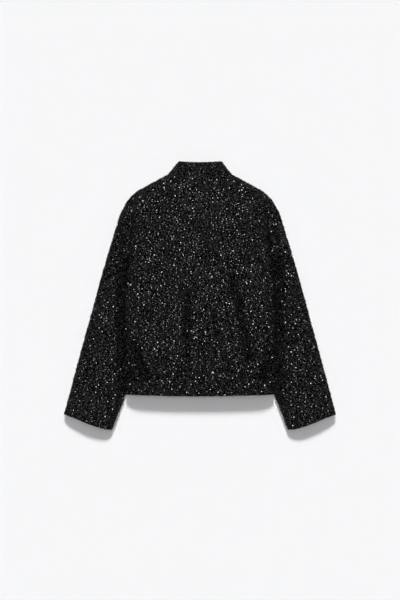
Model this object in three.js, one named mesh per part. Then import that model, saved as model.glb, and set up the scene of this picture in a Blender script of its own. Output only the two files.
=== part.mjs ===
// A cropped blouson of black sequinned boucle with a stand collar, lying face down, its back uppermost.
// Millimetres. X runs across the jacket, Y up towards the collar and Z up from the table.
// The body is filled out a little, and each sleeve's inner edge is tucked under the body's side.
import * as THREE from "three";

// Cloth and seams
const cloth = 2.5;
const bandCloth = 3;
const collarCloth = 3.5;
const seamGap = 0.3;
const layerGap = 0.3;

// Outline, as half widths from the centre back
const neckPoint = { x: 85.6, y: 326.7 };
const shoulderPoint = { x: 165, y: 283.8 };
const underarmY = 72;
const bandTopY = -220;
const hemY = -266;
const hemBow = 4;
const backNeckY = 314.5;
const frontNeckY = 252;
const neckCurve = { back: 2.2, front: 0.6 }; // powers of the neckline's curve

// Collar
const collarTop = { half: 58, backY: 357.6, sideY: 361.1, frontY: 296, height: 33, side: 15 };
const collarRound = { back: 2.5, front: 6 }; // powers of its top edge's curve
const collarSide = { from: 0.95, clear: 1.6 }; // past this share of its half width its seam opens a little

// Front opening: the right front laps over the left one
const lap = 15;
const lapFlat = 14; // past the lap, before the left front comes down to the table
const lapRamp = 30;

// How the cloth rounds over at its folded edges
const sideRound = 44;
const sideRoundUnder = 16;
const shoulderRound = 42;
const shoulderRoundUnder = 28;
const crown = 0.15;

// Body stations. half: the body's edge beside the sleeve. reach: how far past the armhole seam the back
// would run before it turned down. level: height of the back at its centre. side: height of the side seam.
const bodyStations = [
  { y: -272, half: 199.5, reach: 0, level: 36.5, side: 19 },
  { y: -245, half: 200.5, reach: 0, level: 40, side: 19.5 },
  { y: -220, half: 202, reach: 0, level: 41.5, side: 20 },
  { y: -196, half: 203.5, reach: 0, level: 44, side: 20 },
  { y: -147, half: 205.5, reach: 0, level: 46, side: 20 },
  { y: -66, half: 206.5, reach: 0, level: 46, side: 20 },
  { y: 15, half: 204, reach: 0, level: 46, side: 18.5 },
  { y: 45, half: 202, reach: 0, level: 46, side: 15.5 },
  { y: 72, half: 200, reach: 0, level: 46, side: 14 },
  { y: 90, half: 197, reach: 0.8, level: 46, side: 13 },
  { y: 136, half: 190, reach: 2.5, level: 46, side: 12 },
  { y: 217, half: 181, reach: 5, level: 45, side: 12 },
  { y: 258, half: 175, reach: 6.5, level: 43, side: 12 },
  { y: 284, half: 165, reach: 8, level: 40, side: 12 },
  { y: 315, half: 120, reach: 12, level: 33.5, side: 12 },
  { y: 330, half: 86, reach: 14, level: 29, side: 12 },
];

// Outer edge of the sleeve, from the shoulder point to the cuff
const sleeveOuter = [
  { x: 165, y: 283.8 },
  { x: 178, y: 273 },
  { x: 190, y: 261 },
  { x: 203, y: 241 },
  { x: 214, y: 220 },
  { x: 224, y: 188 },
  { x: 247.3, y: 112 },
  { x: 305.3, y: -95 },
  { x: 366.2, y: -320 },
];

// Inner edge of the sleeve, from the underarm, under the body, to the cuff
const sleeveInner = [
  { x: 200, y: 72 },
  { x: 201.8, y: 58 },
  { x: 199.5, y: 45 },
  { x: 191, y: 12 },
  { x: 172, y: -28 },
  { x: 152, y: -80 },
  { x: 147, y: -125 },
  { x: 163, y: -176 },
  { x: 200, y: -267 },
  { x: 237.6, y: -361.1 },
];
const innerPace = 1.5; // the inner edge starts slowly, so the rings turn like a fan round the underarm

// Sleeve rings by share of length. crest: height of the upper cloth. outer, inner: heights of its edges.
const sleeveRings = [
  { t: 0, crest: 36, outer: 12, inner: 14 },
  { t: 0.08, crest: 37, outer: 13, inner: 9 },
  { t: 0.15, crest: 38, outer: 14, inner: 4.6 },
  { t: 0.3, crest: 37, outer: 14, inner: 4.4 },
  { t: 0.6, crest: 36, outer: 14, inner: 4.4 },
  { t: 0.8, crest: 34, outer: 14, inner: 5.5 },
  { t: 1, crest: 29, outer: 13, inner: 12 },
];
const capBlend = 0.22; // share of the sleeve over which the armhole's shape fades into the ring's own
const cuffTurn = { from: 0.955, run: 0.012, extra: 1.5 }; // turned hem at the cuff
// How far the cuff's edge bows out and which way, its middle, how far its inner end draws back, and how
// much the bow leans to that end
const cuffWay = { x: 0.31, y: -0.95 };
const cuffBow = { depth: 5.2, from: 0.75, middle: 0.55, power: 2.2, draw: 0.21, lean: 1.8 };
const pressed = { cap: 8, sleeve: 6 }; // solid width at the sleeve's pressed inner edge

// Height that the tucked sleeve may have, by distance in from the body's edge (negative is outside it)
const tuck = [
  { into: -52, height: 46 },
  { into: -38, height: 37.5 },
  { into: -25, height: 29.5 },
  { into: -14, height: 20.5 },
  { into: -6, height: 13.5 },
  { into: 0, height: 10 },
  { into: 8, height: 9 },
  { into: 15, height: 8.6 },
  { into: 40, height: 8.4 },
  { into: 100, height: 8.2 },
];
const tuckClear = 0.8; // between the tucked sleeve and the front over it
const tuckRamp = 38; // past the tucked sleeve, before the front comes down to the table
const tuckStart = { below: 12, run: 40 }; // the tucked sleeve starts this far below the underarm
const tuckCorner = { depth: 4, reach: 5, least: 0.4 }; // rounds the ring where it meets the tucked height
const tuckEnd = { y: hemY + 6, run: 60, rise: 60 }; // below the hem the sleeve is free to rise again
const roundness = { upper: 2.6, under: 6 }; // powers of the sleeve's upper and under section

// Folds: soft troughs from one point to another. A negative depth is a ridge.
const backFolds = [
  { fromX: -33, fromY: 60, toX: -35, toY: -227, width: 7.5, depth: 10 },
  { fromX: 70, fromY: 125, toX: 138, toY: -206, width: 8, depth: 11.5 },
  { fromX: 38, fromY: -35, toX: 42, toY: -125, width: 8, depth: 7 },
  { fromX: -190, fromY: -105, toX: -146, toY: -224, width: 10, depth: 14 },
  { fromX: -197, fromY: -165, toX: -186, toY: -238, width: 10, depth: 8 },
  { fromX: 187, fromY: -125, toX: 180, toY: -234, width: 14, depth: 13 },
  { fromX: -112, fromY: -140, toX: -86, toY: -228, width: 8, depth: 5 },
  { fromX: -64, fromY: -172, toX: -58, toY: -228, width: 7, depth: 4 },
  { fromX: 66, fromY: -150, toX: 74, toY: -228, width: 7.5, depth: 6 },
  { fromX: 12, fromY: -160, toX: 8, toY: -228, width: 7, depth: 4.5 },
  { fromX: -122, fromY: -178, toX: -118, toY: -232, width: 7, depth: 4 },
  { fromX: 108, fromY: -172, toX: 112, toY: -230, width: 7, depth: 4 },
  { fromX: -146, fromY: 130, toX: -134, toY: -80, width: 26, depth: -3 },
  { fromX: 156, fromY: 90, toX: 168, toY: -110, width: 24, depth: -3 },
  { fromX: -52, fromY: -120, toX: -52, toY: -212, width: 12, depth: -2.5 },
  { fromX: -150, fromY: 215, toX: -168, toY: 110, width: 12, depth: 3 },
  { fromX: 148, fromY: 205, toX: 166, toY: 100, width: 12, depth: 3 },
];
const frontFolds = [
  { fromX: -150, fromY: -130, toX: -138, toY: -228, width: 13, depth: 3.5 },
  { fromX: -92, fromY: -160, toX: -88, toY: -228, width: 12, depth: 3 },
  { fromX: -46, fromY: -175, toX: -48, toY: -226, width: 10, depth: 2 },
  { fromX: 58, fromY: -170, toX: 54, toY: -226, width: 11, depth: 2.5 },
  { fromX: 100, fromY: -140, toX: 96, toY: -228, width: 12, depth: 3 },
  { fromX: 146, fromY: -120, toX: 140, toY: -228, width: 13, depth: 3.5 },
];
const sleeveFolds = [
  { fromX: -262, fromY: 62, toX: -226, toY: -5, width: 11, depth: 4 },
  { fromX: -306, fromY: -100, toX: -238, toY: -150, width: 12, depth: 5 },
  { fromX: -322, fromY: -215, toX: -262, toY: -240, width: 12, depth: 3.5 },
  { fromX: -226, fromY: 150, toX: -214, toY: 90, width: 10, depth: 3 },
  { fromX: 262, fromY: 40, toX: 228, toY: -30, width: 12, depth: 4 },
  { fromX: 306, fromY: -120, toX: 242, toY: -145, width: 12, depth: 5 },
  { fromX: 332, fromY: -200, toX: 268, toY: -250, width: 12, depth: 4 },
  { fromX: 222, fromY: 165, toX: 212, toY: 95, width: 10, depth: 3 },
];

// Grid sizes, in cells
const backCells = { neck: 9, shoulder: 14 };
const panelRows = { lower: 13, upper: 12 };
const frontCells = { across: 12 };
const sleeveCells = { along: 26 };
const bandCells = { back: 44, front: 24, high: 3 };
const collarCells = { high: 4 };
const rowPace = { body: 1.15, sleeve: 1.25 }; // powers that draw the rows together at their start

const black = new THREE.Color(0x17171a);

const clamp01 = (t) => Math.min(1, Math.max(0, t));
const lerp = (a, b, t) => a + (b - a) * t;
const smooth = (t) => clamp01(t) ** 2 * (3 - 2 * clamp01(t));
// Quarter round: 0 at the edge, 1 from the given distance on
const quarter = (distance, reach) => Math.sqrt(1 - (1 - clamp01(distance / reach)) ** 2);
// Even steps from -1 to 1, drawn together towards both ends
const eased = (u) => 1.5 * u - 0.5 * u ** 3;

// A smooth curve through the rows of a table, read at one place
function along(table, by, key, at) {
  const last = table.length - 1;
  if (at <= table[0][by]) return table[0][key];
  if (at >= table[last][by]) return table[last][key];
  let i = 0;
  while (at > table[i + 1][by]) i++;
  const step = (k) => table[k + 1][by] - table[k][by];
  const slope = (k) => (table[k + 1][key] - table[k][key]) / step(k);
  const tangent = (k) => {
    if (k === 0) return slope(0);
    if (k === last) return slope(last - 1);
    return (slope(k - 1) * step(k) + slope(k) * step(k - 1)) / (step(k - 1) + step(k));
  };
  const h = step(i);
  const t = (at - table[i][by]) / h;
  return (
    table[i][key] * (1 + 2 * t) * (1 - t) ** 2 +
    tangent(i) * h * t * (1 - t) ** 2 +
    table[i + 1][key] * t ** 2 * (3 - 2 * t) +
    tangent(i + 1) * h * t ** 2 * (t - 1)
  );
}

// The same points with their share of the whole chord length, t
function withShare(points) {
  const runs = [0];
  points.slice(1).forEach((p, i) => runs.push(runs[i] + Math.hypot(p.x - points[i].x, p.y - points[i].y)));
  return points.map((p, i) => ({ ...p, t: runs[i] / runs[points.length - 1] }));
}
const outerEdge = withShare(sleeveOuter);
const innerEdge = withShare(sleeveInner);
const onEdge = (edge, t) => ({ x: along(edge, "t", "x", t), y: along(edge, "t", "y", t) });

const station = (key, y) => along(bodyStations, "y", key, y);
const armhole = (y) => station("half", y);

// Half width at which the tucked sleeve's inner edge lies, at one height up the body
const tuckedRun = sleeveInner.slice(1).reverse();
const tuckedPast = 3; // most that it may lie past the body's edge
const tuckedTo = (y) => Math.min(along(tuckedRun, "y", "x", y), station("half", y) + tuckedPast);

// How far a point lies below the shoulder seam's line
function belowShoulder(x, y) {
  const run = shoulderPoint.x - neckPoint.x;
  const fall = neckPoint.y - shoulderPoint.y;
  return ((neckPoint.x - x) * fall + (neckPoint.y - y) * run) / Math.hypot(run, fall);
}

// Each fold comes in over the first shares of its length and goes out just past its end
const foldFade = { first: 0.4, last: 0.25, past: 1.1 };
function foldDepth(folds, x, y) {
  let depth = 0;
  for (const f of folds) {
    const dx = f.toX - f.fromX;
    const dy = f.toY - f.fromY;
    const length = Math.hypot(dx, dy);
    const k = ((x - f.fromX) * dx + (y - f.fromY) * dy) / length ** 2;
    const off = ((x - f.fromX) * dy - (y - f.fromY) * dx) / length;
    const ends = smooth(k / foldFade.first) * smooth((foldFade.past - k) / foldFade.last);
    depth += f.depth * Math.exp(-((off / f.width) ** 2)) * ends;
  }
  return depth;
}

// Upper face of the back, above the table
function backHeight(x, y) {
  const edge = station("side", y);
  const wide = station("half", y) + station("reach", y);
  const across = Math.abs(x) / wide;
  const dome = 1 - crown * across ** 2;
  const side = quarter(wide - Math.abs(x), sideRound);
  const shoulder = y > underarmY ? quarter(belowShoulder(Math.abs(x), y), shoulderRound) : 1;
  return edge + ((station("level", y) - edge) * dome - foldDepth(backFolds, x, y)) * side * shoulder;
}

// Under face of the fronts: on the table, and lifted where a sleeve is tucked under it
function frontHeight(x, y) {
  const edge = station("side", y);
  const wide = station("half", y) + station("reach", y);
  const into = wide - Math.abs(x);
  const overSleeve = 1 - smooth((tuckedTo(y) - tuckedPast - Math.abs(x)) / tuckRamp);
  const nearUnderarm = smooth((underarmY - tuckStart.below - y) / tuckStart.run);
  const lifted = (along(tuck, "into", "height", into) + tuckClear) * overSleeve * nearUnderarm;
  const rest = lifted + foldDepth(frontFolds, x, y) * quarter(into, sideRound);
  const side = quarter(into, sideRoundUnder);
  const shoulder = y > underarmY ? quarter(belowShoulder(Math.abs(x), y), shoulderRoundUnder) : 1;
  return edge + (rest - edge) * side * shoulder;
}

// The top boundary of the back: shoulder seams and the back neckline
function backTopY(x) {
  const across = Math.abs(x) / neckPoint.x;
  if (across <= 1) return lerp(backNeckY, neckPoint.y, across ** neckCurve.back);
  return lerp(neckPoint.y, shoulderPoint.y, (Math.abs(x) - neckPoint.x) / (shoulderPoint.x - neckPoint.x));
}
// A point of the neckline in plan, by its angle round the neck, and the direction across its seam
function neckline(part, angle) {
  const low = part === "back" ? backNeckY : frontNeckY;
  const place = (a) => {
    const share = Math.min(1, Math.abs(Math.sin(a)));
    const rise = part === "back" ? share ** neckCurve.back : 1 - (1 - share ** 2) ** neckCurve.front;
    return { x: neckPoint.x * Math.sin(a), y: lerp(low, neckPoint.y, rise) };
  };
  const step = 0.01;
  const limit = Math.PI / 2;
  const before = place(Math.max(-limit, angle - step));
  const after = place(Math.min(limit, angle + step));
  const across = new THREE.Vector3(before.y - after.y, after.x - before.x, 0).normalize();
  return { ...place(angle), across };
}
// Height the left front is lifted by, where it lies over the right one's lap
const lapLift = (x, thickness) => (thickness + layerGap) * smooth((x + lap + lapFlat + lapRamp) / lapRamp);
const hemLine = (across) => hemY - hemBow * (1 - across ** 2);

// Builds one closed wall from a grid of outer points. The inner face is offset by the wall, or given.
// seam holds, for each edge, the direction across that seam, so that the wall ends square to it.
function wall(name, grid, { thickness, seam = {}, inner = null, ring = false, flip = false }) {
  const rows = grid.length;
  const cols = grid[0].length;
  const wrap = (i) => (ring ? (i + cols) % cols : Math.min(cols - 1, Math.max(0, i)));
  const at = (i, j) => grid[Math.min(rows - 1, Math.max(0, j))][wrap(i)];
  const across = { left: (i) => !ring && i === 0, right: (i) => !ring && i === cols - 1 };
  const inside = (i, j) => {
    const du = at(i + 1, j).clone().sub(at(i - 1, j));
    const dv = at(i, j + 1).clone().sub(at(i, j - 1));
    const n = du.cross(dv).multiplyScalar(flip ? 1 : -1).normalize();
    const cuts = [];
    if (across.left(i) && seam.left) cuts.push(...seam.left(j));
    if (across.right(i) && seam.right) cuts.push(...seam.right(j));
    if (j === 0 && seam.foot) cuts.push(...seam.foot(i));
    if (j === rows - 1 && seam.head) cuts.push(...seam.head(i));
    for (const c of cuts) n.addScaledVector(c, -n.dot(c)).normalize();
    return at(i, j).clone().addScaledVector(n, thickness);
  };
  const points = [];
  const outerIds = grid.map((row) => row.map((p) => points.push(p) - 1));
  const innerPoint = (i, j) => (inner ? inner[j][i] : inside(i, j));
  const innerIds = grid.map((row, j) => row.map((_, i) => points.push(innerPoint(i, j)) - 1));
  const faces = [];
  const quad = (a, b, c, d) => faces.push(...(flip ? [a, c, b, a, d, c] : [a, b, c, a, c, d]));
  const spans = ring ? cols : cols - 1;
  for (let j = 0; j < rows - 1; j++) {
    for (let i = 0; i < spans; i++) {
      const k = (i + 1) % cols;
      quad(outerIds[j][i], outerIds[j][k], outerIds[j + 1][k], outerIds[j + 1][i]);
      quad(innerIds[j][i], innerIds[j + 1][i], innerIds[j + 1][k], innerIds[j][k]);
    }
  }
  for (let i = 0; i < spans; i++) {
    const k = (i + 1) % cols;
    quad(outerIds[0][k], outerIds[0][i], innerIds[0][i], innerIds[0][k]);
    quad(outerIds[rows - 1][i], outerIds[rows - 1][k], innerIds[rows - 1][k], innerIds[rows - 1][i]);
  }
  if (!ring) {
    for (let j = 0; j < rows - 1; j++) {
      quad(outerIds[j][0], outerIds[j + 1][0], innerIds[j + 1][0], innerIds[j][0]);
      const i = cols - 1;
      quad(outerIds[j + 1][i], outerIds[j][i], innerIds[j][i], innerIds[j + 1][i]);
    }
  }
  const coordinates = points.flatMap((p) => [p.x, p.y, p.z]);
  const geometry = new THREE.BufferGeometry();
  geometry.setAttribute("position", new THREE.Float32BufferAttribute(coordinates, 3));
  geometry.setIndex(faces);
  geometry.computeVertexNormals();
  const material = new THREE.MeshStandardMaterial({ color: black, roughness: 0.85, metalness: 0 });
  const mesh = new THREE.Mesh(geometry, material);
  mesh.name = name;
  return mesh;
}

const up = new THREE.Vector3(0, 0, 1);
const alongY = new THREE.Vector3(0, 1, 0);
const alongX = new THREE.Vector3(1, 0, 0);

// Direction across the armhole seam, in plan
function acrossArmhole(y, side) {
  const slope = (armhole(y + 1) - armhole(y - 1)) / 2;
  return new THREE.Vector3(side, -slope, 0).normalize();
}

const quarterTurn = Math.PI / 2;
const lowerRow = (k) => lerp(bandTopY + seamGap / 2, underarmY, k ** rowPace.body);
const upperRow = (k) => Math.sin(quarterTurn * k);
const armholeRow = (k) => lerp(underarmY, shoulderPoint.y, upperRow(k));
const armholeShares = Array.from({ length: panelRows.upper + 1 }, (_, k) => upperRow(k / panelRows.upper));
// The armhole as a run of straight steps between the panels' rows, which the sleeve shares
function armholeStep(y) {
  const share = (y - underarmY) / (shoulderPoint.y - underarmY);
  const above = armholeShares.findIndex((v) => v > share);
  const k = above < 0 ? armholeShares.length - 2 : Math.max(0, above - 1);
  const yAt = (i) => lerp(underarmY, shoulderPoint.y, armholeShares[i]);
  const t = (y - yAt(k)) / (yAt(k + 1) - yAt(k));
  return lerp(armhole(yAt(k)), armhole(yAt(k + 1)), clamp01(t));
}
const neckAngles = Array.from({ length: backCells.neck + 1 }, (_, i) => (quarterTurn * i) / backCells.neck);
const frontNeckAngles = Array.from({ length: panelRows.upper + 1 }, (_, i) =>
  lerp(-Math.asin(lap / neckPoint.x), quarterTurn, i / panelRows.upper),
);

// Back: one panel from side seam to side seam, with its armholes, shoulder seams and neckline
function back() {
  const { neck, shoulder } = backCells;
  const { lower, upper } = panelRows;
  const neckShare = neckPoint.x / shoulderPoint.x;
  const half = neckAngles.map((a) => Math.sin(a) * neckShare);
  for (let i = 1; i <= shoulder; i++) half.push(lerp(neckShare, 1, Math.sin((quarterTurn * i) / shoulder)));
  const shares = [...half.slice(1).reverse().map((u) => -u), ...half];
  const inNeck = (share) => Math.abs(share) < neckShare + 0.001;
  const neckAt = (share) => neckline("back", Math.asin(Math.max(-1, Math.min(1, share / neckShare))));
  const grid = [];
  for (let j = 0; j <= lower + upper; j++) {
    const f = upperRow((j - lower) / upper);
    const row = shares.map((share) => {
      const rowY = j <= lower ? lowerRow(j / lower) : lerp(underarmY, shoulderPoint.y, f);
      const inArmhole = j > lower && Math.abs(share) === 1 ? seamGap / 2 : 0;
      const p = new THREE.Vector3(share * (armhole(rowY) - inArmhole), rowY, 0);
      if (j > lower) p.y = lerp(underarmY, backTopY(shoulderPoint.x * share), f);
      if (j === lower + upper && inNeck(share)) p.addScaledVector(neckAt(share).across, -seamGap / 2);
      p.z = backHeight(p.x, p.y);
      const onSide = j <= lower && Math.abs(share) === 1;
      const onShoulder = j === lower + upper && !(inNeck(share) && Math.abs(share) < neckShare - 0.001);
      if (onSide || onShoulder) p.z += seamGap / 2;
      return p;
    });
    grid.push(row);
  }
  const sideSeam = (j, side) => (j <= lower ? [up] : [acrossArmhole(grid[j][0].y, side)]);
  return wall("back", grid, {
    thickness: cloth,
    seam: {
      left: (j) => sideSeam(j, -1),
      right: (j) => sideSeam(j, 1),
      foot: () => [alongY],
      head: (i) => {
        const share = shares[i];
        if (!inNeck(share)) return [up];
        return Math.abs(share) > neckShare - 0.001 ? [neckAt(share).across, up] : [neckAt(share).across];
      },
    },
  });
}

// One front. side is 1 for the right front, which laps over the other, and -1 for the left.
function front(side) {
  const { across } = frontCells;
  const { lower, upper } = panelRows;
  const rows = lower + upper;
  const grid = [];
  const neckAt = (j) => neckline("front", frontNeckAngles[j - lower]);
  const neckAcross = (j) => {
    const n = neckAt(j).across;
    return new THREE.Vector3(n.x * side, n.y, 0);
  };
  for (let j = 0; j <= rows; j++) {
    const inner = new THREE.Vector3(-lap, 0, 0);
    const corner = neckAt(lower).y - seamGap / 2;
    if (j < lower) inner.y = lerp(bandTopY + seamGap / 2, corner, j / lower);
    else inner.set(neckAt(j).x, neckAt(j).y, 0).addScaledVector(neckAt(j).across, -seamGap / 2);
    const inArmhole = j > lower;
    const outer = new THREE.Vector3(0, 0, 0);
    outer.y = inArmhole ? armholeRow((j - lower) / upper) : lowerRow(j / lower);
    outer.x = armhole(outer.y) - (inArmhole ? 0.8 * seamGap : 0);
    const row = [];
    for (let i = 0; i <= across; i++) {
      const p = inner.clone().lerp(outer, Math.sin((quarterTurn * i) / across));
      p.x *= side;
      p.z = frontHeight(p.x, p.y);
      if (side < 0) p.z += lapLift(p.x, cloth);
      if ((i === across && j <= lower) || j === rows) p.z -= seamGap / 2;
      row.push(p);
    }
    grid.push(row);
  }
  return wall(side > 0 ? "front_right" : "front_left", grid, {
    thickness: cloth,
    flip: side > 0,
    seam: {
      left: (j) => (j < lower ? [alongX] : [neckAcross(j)]),
      right: (j) => (j <= lower ? [up] : [acrossArmhole(grid[j][across].y, side)]),
      foot: () => [alongY],
      head: () => [up],
    },
  });
}

// One sleeve: a flattened tube of rings that fan out from the armhole and run to the cuff
function sleeve(side) {
  const { along: stations } = sleeveCells;
  const across = panelRows.upper;
  // One point of a ring: t runs along the sleeve, and s across it from the outer edge
  const ringPoint = (t, s, upper, isInner) => {
    const thick = cloth + cuffTurn.extra * smooth((t - cuffTurn.from) / cuffTurn.run);
    const inset = isInner ? thick : 0;
    const a = onEdge(outerEdge, t);
    const b = onEdge(innerEdge, t ** innerPace);
    const width = Math.hypot(b.x - a.x, b.y - a.y);
    const from = inset / width;
    const atCuff = smooth((t - cuffBow.from) / (1 - cuffBow.from));
    const solid = lerp(pressed.cap, lerp(pressed.sleeve, thick, atCuff), t);
    const to = 1 - (isInner ? solid : 0) / width;
    const capShare = smooth(t / capBlend);
    const even = lerp(1 - upperRow(1 - s), (1 - Math.cos(Math.PI * s)) / 2, capShare);
    const share = lerp(from, to, even);
    let x = lerp(a.x, b.x, share);
    let y = lerp(a.y, b.y, share);
    const seamY = lerp(shoulderPoint.y, underarmY, share);
    const chordX = lerp(shoulderPoint.x, armhole(underarmY), share);
    x += (armholeStep(seamY) - chordX + seamGap / 2) * (1 - capShare);
    const late = share ** cuffBow.lean;
    const arc = Math.max(0, 1 - Math.abs(2 * (late - cuffBow.middle)) ** cuffBow.power);
    const bow = cuffBow.depth * Math.max(0, arc - cuffBow.draw * late) * atCuff;
    x += cuffWay.x * bow;
    y += cuffWay.y * bow;
    const middle = lerp(from, to, 0.5);
    const round = Math.min(1, Math.abs((share - middle) / (middle - from)));
    const rounded = Math.sqrt(1 - round ** roundness.upper);
    const ring = (key) => along(sleeveRings, "t", key, t);
    const edge = lerp(ring("outer"), ring("inner"), smooth(share));
    const signedX = x * side;
    if (upper) {
      const free = tuckEnd.rise * smooth((tuckEnd.y - y) / tuckEnd.run);
      const room = along(tuck, "into", "height", station("half", y) - x) + free;
      const crest = ring("crest") - foldDepth(sleeveFolds, signedX, y);
      const softened = tuckCorner.depth * Math.exp(-(((crest - room) / tuckCorner.reach) ** 2));
      const top = Math.max(Math.min(crest, room) - softened - inset, edge + tuckCorner.least);
      const seamZ = backHeight(armhole(seamY), seamY) - inset * rounded;
      return new THREE.Vector3(signedX, y, lerp(seamZ, edge + (top - edge) * rounded, capShare));
    }
    const under = edge + (inset - edge) * Math.sqrt(1 - round ** roundness.under);
    const seamZ = frontHeight(armhole(seamY), seamY) + inset * rounded;
    return new THREE.Vector3(signedX, y, lerp(seamZ, under, capShare));
  };
  const tube = (isInner) => {
    const grid = [];
    for (let j = 0; j <= stations; j++) {
      const t = (j / stations) ** rowPace.sleeve;
      const row = [];
      for (let i = 0; i < across; i++) row.push(ringPoint(t, i / across, true, isInner));
      for (let i = across; i > 0; i--) row.push(ringPoint(t, i / across, false, isInner));
      grid.push(row);
    }
    return grid;
  };
  return wall(side > 0 ? "sleeve_right" : "sleeve_left", tube(false), {
    inner: tube(true),
    ring: true,
    flip: side < 0,
  });
}

// Hem band: the back from side seam to side seam
function backBand() {
  const { back: cells, high } = bandCells;
  const grid = [];
  for (let j = 0; j <= high; j++) {
    const row = [];
    for (let i = 0; i <= cells; i++) {
      const share = eased((i / cells) * 2 - 1);
      const y = lerp(hemLine(share), bandTopY - seamGap / 2, j / high);
      const x = share * station("half", y);
      const ends = i === 0 || i === cells ? seamGap / 2 : 0;
      row.push(new THREE.Vector3(x, y, backHeight(x, y) + ends));
    }
    grid.push(row);
  }
  return wall("hem_band_back", grid, {
    thickness: bandCloth,
    seam: { left: () => [up], right: () => [up], foot: () => [alongY], head: () => [alongY] },
  });
}

function frontBand(side) {
  const { front: cells, high } = bandCells;
  const grid = [];
  for (let j = 0; j <= high; j++) {
    const row = [];
    for (let i = 0; i <= cells; i++) {
      const k = Math.sin((quarterTurn * i) / cells);
      const wide = station("half", hemY);
      const share = lerp(-lap / wide, 1, k);
      const y = lerp(hemLine(share), bandTopY - seamGap / 2, j / high);
      const x = (share < 0 ? share * wide : share * lerp(wide, station("half", y), k)) * side;
      let z = frontHeight(x, y);
      if (side < 0) z += lapLift(x, bandCloth);
      if (i === cells) z -= seamGap / 2;
      row.push(new THREE.Vector3(x, y, z));
    }
    grid.push(row);
  }
  return wall(side > 0 ? "hem_band_front_right" : "hem_band_front_left", grid, {
    thickness: bandCloth,
    flip: side > 0,
    seam: { left: () => [alongX], right: () => [up], foot: () => [alongY], head: () => [alongY] },
  });
}

// Stand collar: one strip round the neck, lapped at the front like the fronts below it
function collar() {
  const { high } = collarCells;
  const columns = [];
  const column = (part, angle) => {
    const foot = neckline(part, angle);
    const share = Math.sin(angle);
    const atSide = Math.abs(share) > 0.999;
    const nearSide = Math.abs(share) > collarSide.from;
    const across = atSide ? neckline("back", angle).across : foot.across;
    const clear = nearSide ? collarSide.clear * seamGap : seamGap / 2;
    const base = new THREE.Vector3(foot.x, foot.y, 0).addScaledVector(across, clear);
    if (atSide) base.x -= Math.sign(share) * seamGap;
    base.z = part === "back" ? backHeight(foot.x, foot.y) : frontHeight(foot.x, foot.y);
    const top = new THREE.Vector3(share * collarTop.half, 0, 0);
    if (part === "back") {
      top.y = lerp(collarTop.backY, collarTop.sideY, share ** 2);
      top.z = lerp(collarTop.side, collarTop.height, Math.sqrt(1 - Math.abs(share) ** collarRound.back));
    } else {
      top.y = lerp(collarTop.sideY, collarTop.frontY, Math.sqrt(1 - share ** 2));
      top.z = collarTop.side * (1 - Math.sqrt(1 - Math.abs(share) ** collarRound.front));
    }
    const points = [];
    for (let j = 0; j <= high; j++) points.push(base.clone().lerp(top, j / high));
    columns.push({ points, across });
  };
  // from the left lap, round the back, to the right lap
  for (const a of frontNeckAngles.slice(0, -1)) column("front", -a);
  for (const a of neckAngles.slice(1).reverse()) column("back", -a);
  for (const a of neckAngles) column("back", a);
  for (const a of frontNeckAngles.slice(0, -1).reverse()) column("front", a);
  for (const c of columns.slice(0, frontNeckAngles.length - 1)) {
    for (const p of c.points) p.z += lapLift(p.x, collarCloth);
  }
  const grid = [];
  for (let j = 0; j <= high; j++) grid.push(columns.map((c) => c.points[j]));
  return wall("collar", grid, {
    thickness: collarCloth,
    seam: { left: () => [alongX], right: () => [alongX], foot: (i) => [columns[i].across] },
  });
}

const blouson = new THREE.Group();
blouson.add(back());
for (const side of [1, -1]) {
  blouson.add(front(side));
  blouson.add(sleeve(side));
  blouson.add(frontBand(side));
}
blouson.add(backBand());
blouson.add(collar());

export default blouson;
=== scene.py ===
import math

import bpy
import numpy as np
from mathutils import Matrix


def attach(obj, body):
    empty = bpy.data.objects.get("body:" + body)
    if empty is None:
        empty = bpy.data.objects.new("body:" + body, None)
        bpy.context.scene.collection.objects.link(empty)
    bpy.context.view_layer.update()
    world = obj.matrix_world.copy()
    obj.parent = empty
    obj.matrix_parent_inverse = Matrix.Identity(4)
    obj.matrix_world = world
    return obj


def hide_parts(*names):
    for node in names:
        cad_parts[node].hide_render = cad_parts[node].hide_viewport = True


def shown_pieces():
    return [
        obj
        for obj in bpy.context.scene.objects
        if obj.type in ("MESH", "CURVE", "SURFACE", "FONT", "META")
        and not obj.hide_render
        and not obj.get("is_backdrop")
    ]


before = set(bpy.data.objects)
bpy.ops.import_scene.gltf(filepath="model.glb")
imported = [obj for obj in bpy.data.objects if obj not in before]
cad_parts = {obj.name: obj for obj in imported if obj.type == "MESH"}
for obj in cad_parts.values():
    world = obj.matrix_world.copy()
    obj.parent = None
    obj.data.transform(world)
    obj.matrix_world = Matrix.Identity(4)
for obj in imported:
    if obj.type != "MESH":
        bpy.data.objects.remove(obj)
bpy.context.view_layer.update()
mm = 0.001
rng = np.random.default_rng(41)

# The jacket's outline and seams, which every piece shares.
neckPoint = (85.6, 326.7)
shoulderPoint = (165.0, 283.8)
underarmY = 72.0
bandTopY = -220.0
hemY, hemBow = -266.0, 4.0
backNeckY, frontNeckY = 314.5, 252.0
neckCurve = {"back": 2.2, "front": 0.6}  # powers of the neckline's curve
lap, lapFlat, lapRamp = 15.0, 14.0, 30.0  # the lap, then flat, then down to the table
lapQuiet = {"past": 6, "run": 4}  # no sequins from here on where one front lies on the other
seamGap, layerGap = 0.3, 0.3
rowPace = {"body": 1.15, "sleeve": 1.1}  # powers that draw the rows together towards one end
# How far in from its edges the cloth rounds over.
rounding = {"side": 44, "sideUnder": 16, "shoulder": 42, "shoulderUnder": 28, "crown": 0.15}

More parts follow.
